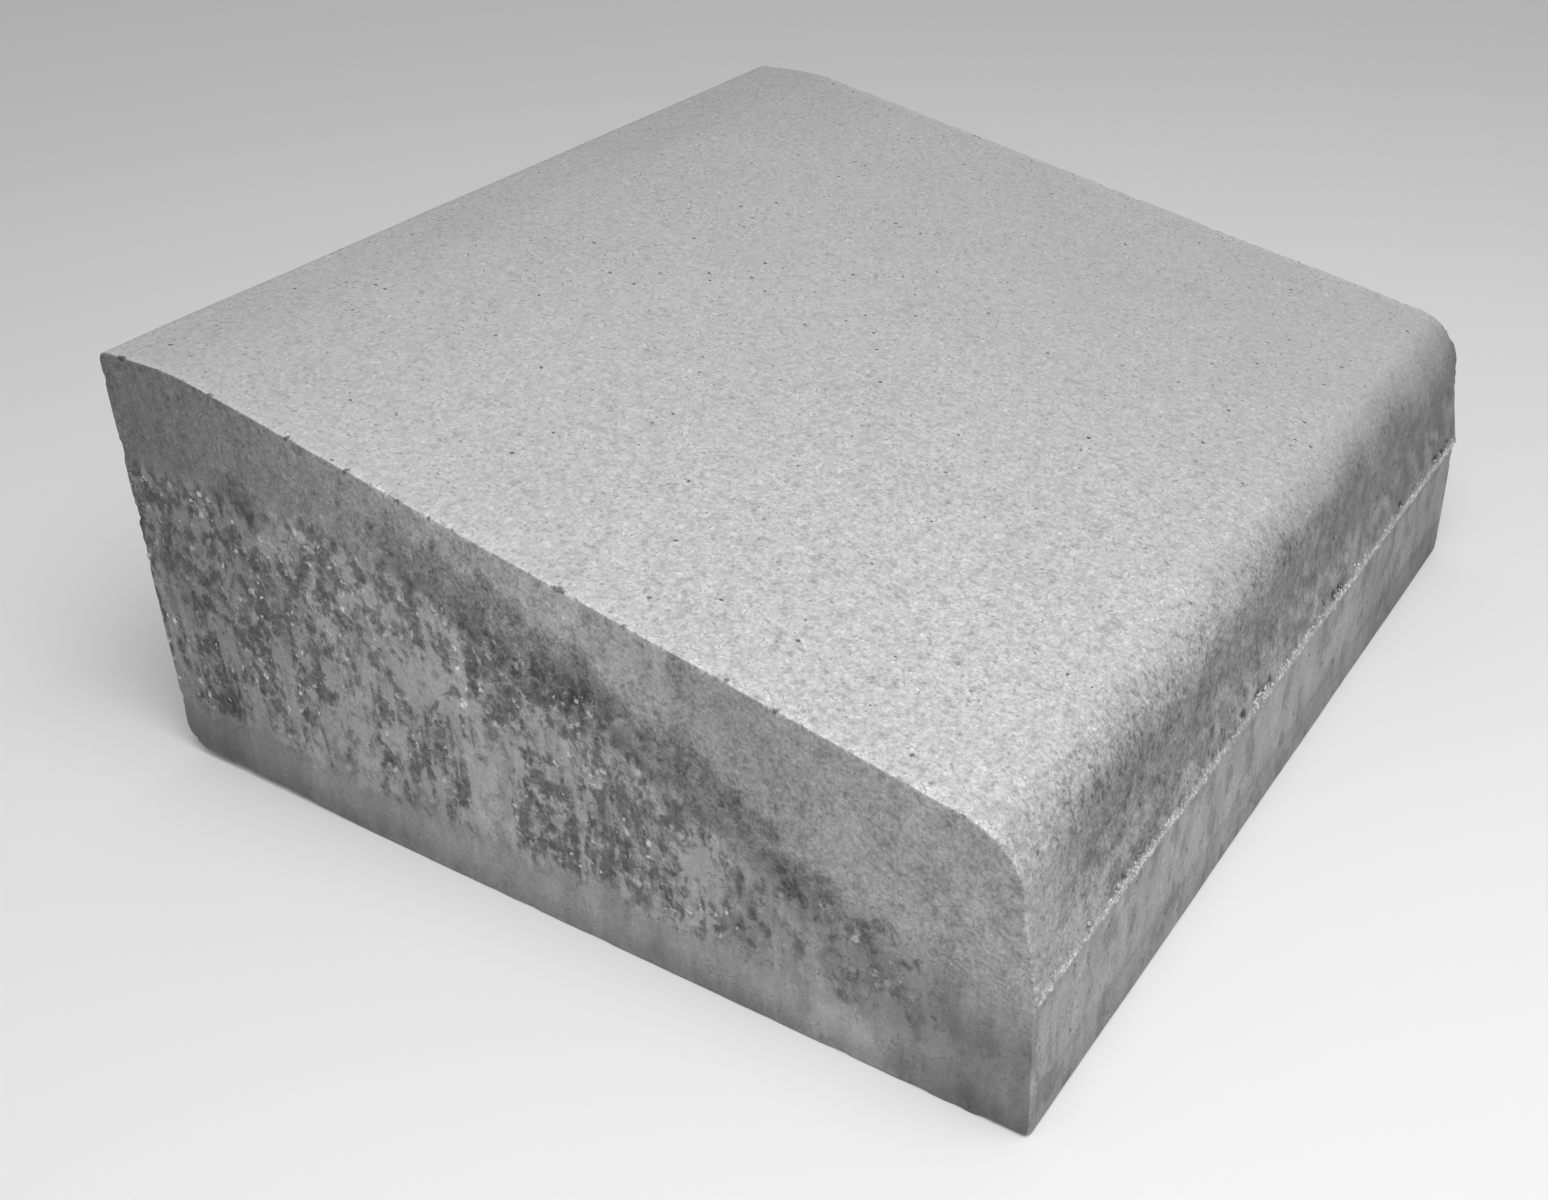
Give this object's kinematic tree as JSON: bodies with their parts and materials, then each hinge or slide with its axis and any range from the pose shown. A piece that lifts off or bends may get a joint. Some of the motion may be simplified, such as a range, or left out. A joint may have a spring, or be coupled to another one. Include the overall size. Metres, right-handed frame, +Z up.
{
  "type": "concrete driveway kerb block",
  "caption": "Precast concrete wedge-shaped kerb block with a rounded nose, pressed from a coarse backing mix and a fine face mix, for a ramped driveway crossing.",
  "frame": {"origin": "Middle of the block's footprint, on the bed that it is laid on.", "axes": "+X runs along the kerb line, -Y faces the road and the rounded nose, +Y faces the pavement, and +Z is up."},
  "size_m": [0.5, 0.45, 0.21],
  "materials": {
    "backing_mix": "coarse pressed concrete, stained by its mould",
    "face_mix": "fine pressed concrete, tamped sandy top"
  },
  "bodies": {
    "root": {"backing_concrete": "backing_mix", "face_mix": "face_mix"}
  },
  "joints": []
}
